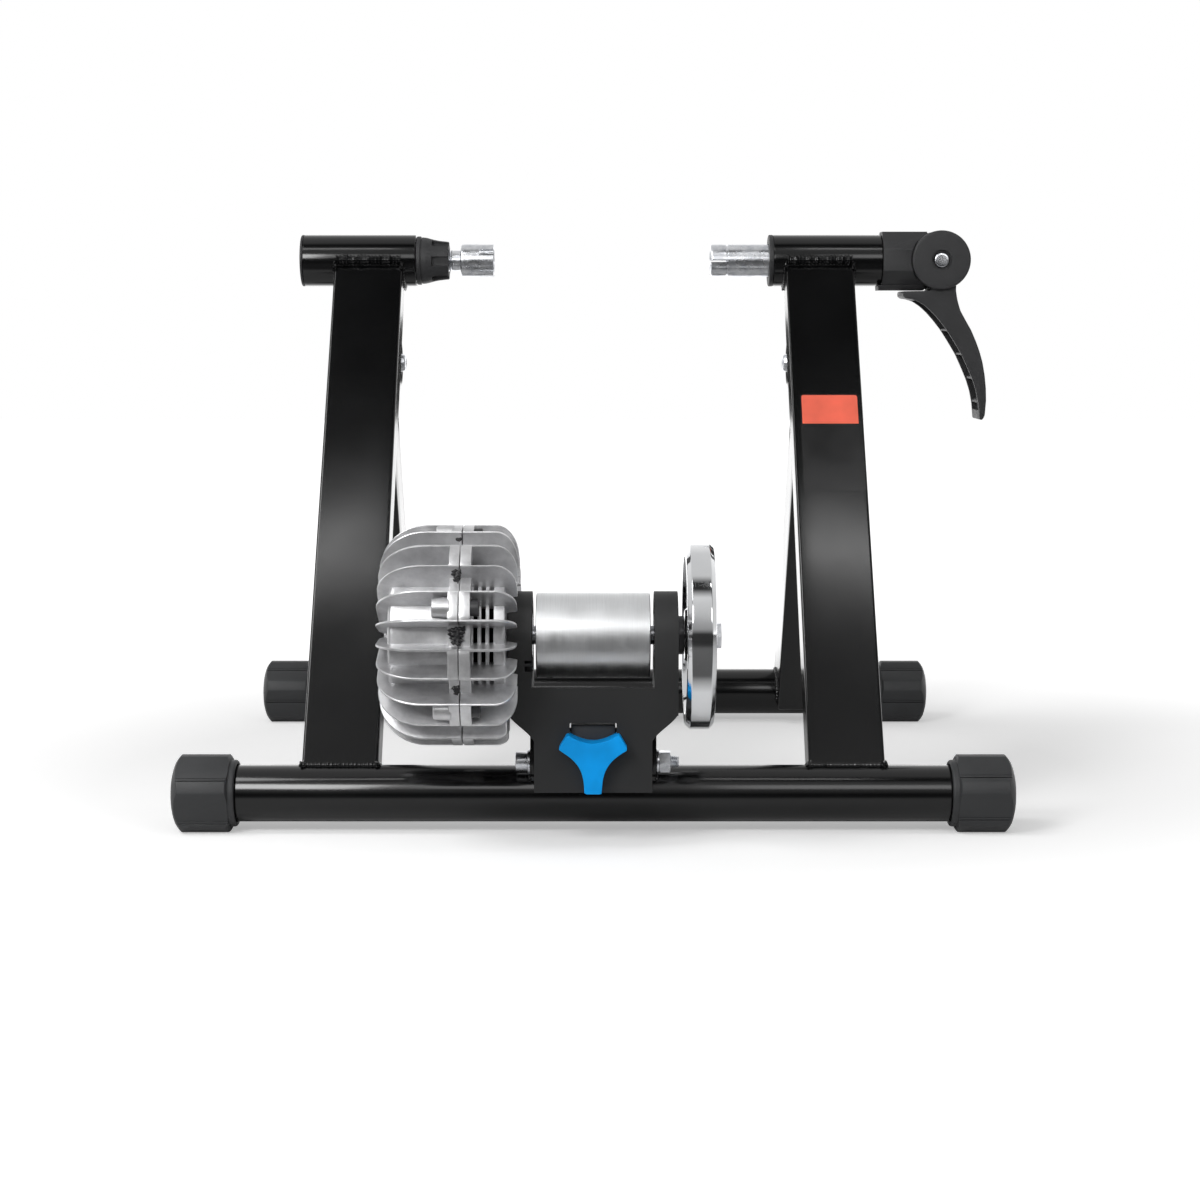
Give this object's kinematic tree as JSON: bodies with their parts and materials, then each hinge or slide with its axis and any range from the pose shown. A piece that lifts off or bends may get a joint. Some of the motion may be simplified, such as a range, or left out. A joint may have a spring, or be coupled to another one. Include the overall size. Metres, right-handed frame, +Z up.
{
  "type": "bicycle turbo trainer",
  "caption": "Folding indoor bicycle trainer stand with axle clamps, a finned fluid resistance roller unit and a flywheel.",
  "frame": {"origin": "middle of the stand's box, on the floor", "axes": "+X to the rider's right, +Y from the roller towards the rear feet, +Z up"},
  "size_m": [0.5596, 0.5446, 0.3968],
  "materials": {
    "black_paint": "satin powder coat",
    "foot_rubber": "matte moulded",
    "black_nylon": "fine texture",
    "zinc_steel": "zinc plated",
    "cast_aluminium": "die cast, blasted",
    "machined_aluminium": "turned, satin",
    "chrome_steel": "polished",
    "blue_plastic": "satin"
  },
  "bodies": {
    "stand": {"front_base_tube": "black_paint", "left_upright": "black_paint", "right_upright": "black_paint", "left_hinge_bracket": "black_paint", "right_hinge_bracket": "black_paint", "left_hinge_bolt": "zinc_steel", "right_hinge_bolt": "zinc_steel", "left_hinge_nut": "zinc_steel", "right_hinge_nut": "zinc_steel", "left_inner_hinge_spacer": "black_nylon", "left_outer_hinge_spacer": "black_nylon", "right_inner_hinge_spacer": "black_nylon", "right_outer_hinge_spacer": "black_nylon", "left_axle_tube": "black_paint", "right_axle_tube": "black_paint", "left_tube_plug": "black_nylon", "adjuster_bush": "zinc_steel", "spindle_bush": "zinc_steel", "clamp_housing": "black_nylon", "roller_bracket": "black_paint", "pivot_bolt": "zinc_steel", "pivot_nut": "zinc_steel", "left_pivot_washer": "zinc_steel", "right_pivot_washer": "zinc_steel", "stud_nut": "zinc_steel"},
    "rear_frame": {"rear_base_tube": "black_paint", "left_rear_leg": "black_paint", "right_rear_leg": "black_paint"},
    "front_left_cap": {"front_left_foot": "foot_rubber"},
    "front_right_cap": {"front_right_foot": "foot_rubber"},
    "rear_left_cap": {"rear_left_foot": "foot_rubber"},
    "rear_right_cap": {"rear_right_foot": "foot_rubber"},
    "collar": {"adjuster_collar": "black_nylon"},
    "adjuster": {"adjuster_spindle": "zinc_steel", "adjuster_cup": "zinc_steel"},
    "clamp": {"clamp_spindle": "zinc_steel"},
    "lever": {"clamp_lever": "black_nylon", "lever_pin": "zinc_steel"},
    "roller_unit": {"roller_yoke": "black_paint", "left_bearing": "zinc_steel", "right_bearing": "zinc_steel", "fluid_housing": "cast_aluminium", "housing_cover": "cast_aluminium", "housing_gasket": "foot_rubber", "thrust_block": "black_nylon", "housing_screw_1": "zinc_steel", "housing_screw_2": "zinc_steel", "housing_screw_3": "zinc_steel", "housing_screw_4": "zinc_steel", "housing_screw_5": "zinc_steel", "housing_screw_6": "zinc_steel"},
    "rotor": {"roller": "machined_aluminium", "roller_shaft": "zinc_steel", "flywheel": "chrome_steel", "flywheel_spacer": "black_nylon", "flywheel_nut": "zinc_steel", "impeller": "cast_aluminium"},
    "knob": {"tension_knob": "blue_plastic", "knob_stud": "zinc_steel"}
  },
  "joints": [
    {"name": "rear_frame_fold", "type": "hinge", "parent": "stand", "child": "rear_frame", "pos_m": [0, 0.07009, 0.30011], "axis": [-1, 0, 0], "range_deg": [0, 58]},
    {"name": "front_left_foot_turn", "type": "hinge", "parent": "stand", "child": "front_left_cap", "pos_m": [-0.2571, -0.1721, 0.0246], "axis": [1, 0, 0], "continuous": true},
    {"name": "front_right_foot_turn", "type": "hinge", "parent": "stand", "child": "front_right_cap", "pos_m": [0.2476, -0.1721, 0.0246], "axis": [1, 0, 0], "continuous": true},
    {"name": "rear_left_foot_turn", "type": "hinge", "parent": "rear_frame", "child": "rear_left_cap", "pos_m": [-0.2571, 0.2469, 0.0246], "axis": [1, 0, 0], "continuous": true},
    {"name": "rear_right_foot_turn", "type": "hinge", "parent": "rear_frame", "child": "rear_right_cap", "pos_m": [0.2476, 0.2469, 0.0246], "axis": [1, 0, 0], "continuous": true},
    {"name": "collar_turn", "type": "hinge", "parent": "stand", "child": "collar", "pos_m": [-0.1239, 0.0724, 0.3753], "axis": [1, 0, 0], "range_deg": [-1080, 1800]},
    {"name": "adjuster_slide", "type": "slide", "parent": "stand", "child": "adjuster", "axis": [1, 0, 0], "range_m": [-0.006, 0.01]},
    {"name": "lever_open", "type": "hinge", "parent": "stand", "child": "lever", "pos_m": [0.24945, 0.0724, 0.3753], "axis": [0, -1, 0], "range_deg": [0, 100]},
    {"name": "clamp_slide", "type": "slide", "parent": "stand", "child": "clamp", "axis": [1, 0, 0], "range_m": [0, 0.008]},
    {"name": "knob_turn", "type": "hinge", "parent": "stand", "child": "knob", "pos_m": [-0.00475, -0.23138, 0.0595], "axis": [0, 1, 0], "range_deg": [-138, 230]},
    {"name": "roller_tilt", "type": "hinge", "parent": "stand", "child": "roller_unit", "pos_m": [0, -0.1871, 0.0485], "axis": [-1, 0, 0], "range_deg": [-3, 5]},
    {"name": "roller_spin", "type": "hinge", "parent": "roller_unit", "child": "rotor", "pos_m": [0, -0.2021, 0.133], "axis": [1, 0, 0], "continuous": true}
  ],
  "couplings": [
    {"joint": "collar_turn", "follows": "adjuster_slide", "rad_per_m": 3141.6},
    {"joint": "clamp_slide", "follows": "lever_open", "m_per_rad": 0.00458},
    {"joint": "roller_tilt", "follows": "knob_turn", "ratio": 0.0217}
  ]
}
